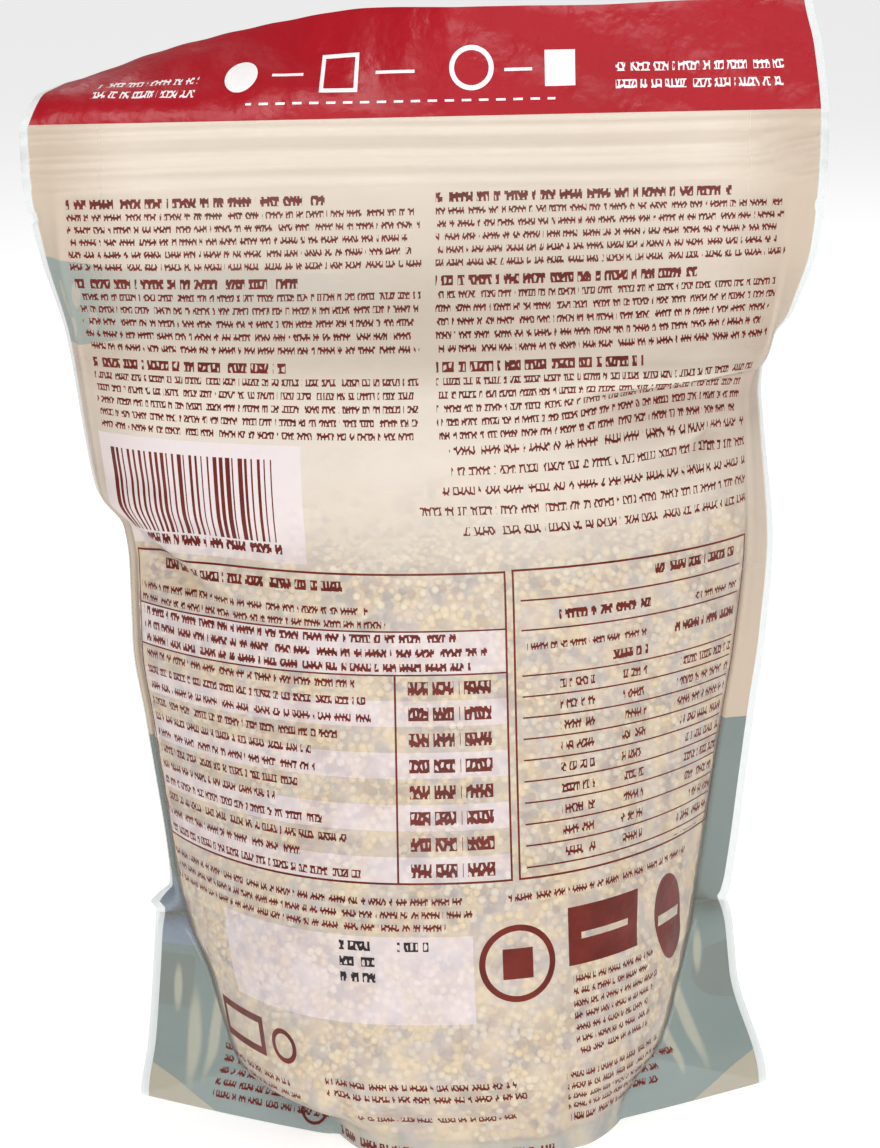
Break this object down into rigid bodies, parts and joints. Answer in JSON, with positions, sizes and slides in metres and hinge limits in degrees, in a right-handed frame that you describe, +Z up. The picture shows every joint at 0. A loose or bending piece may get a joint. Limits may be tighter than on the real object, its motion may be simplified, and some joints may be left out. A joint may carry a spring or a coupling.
{
  "type": "stand-up zip pouch of quinoa",
  "caption": "Shut stand-up zip pouch of three-colour quinoa: bulging matte film, pressed zip under a red header seal, flat ears and a pleated bottom.",
  "frame": {"origin": "middle of the bounding box, on the plane that the bottom skirt stands on", "axes": "+Z up, +X across the panels to the right of the back panel's reader, and the back panel faces -Y"},
  "size_m": [0.1582, 0.0928, 0.2218],
  "materials": {
    "film": "cream matte film, see-through over the grain, with a red header"
  },
  "bodies": {
    "root": {"pouch": "film"}
  },
  "joints": []
}
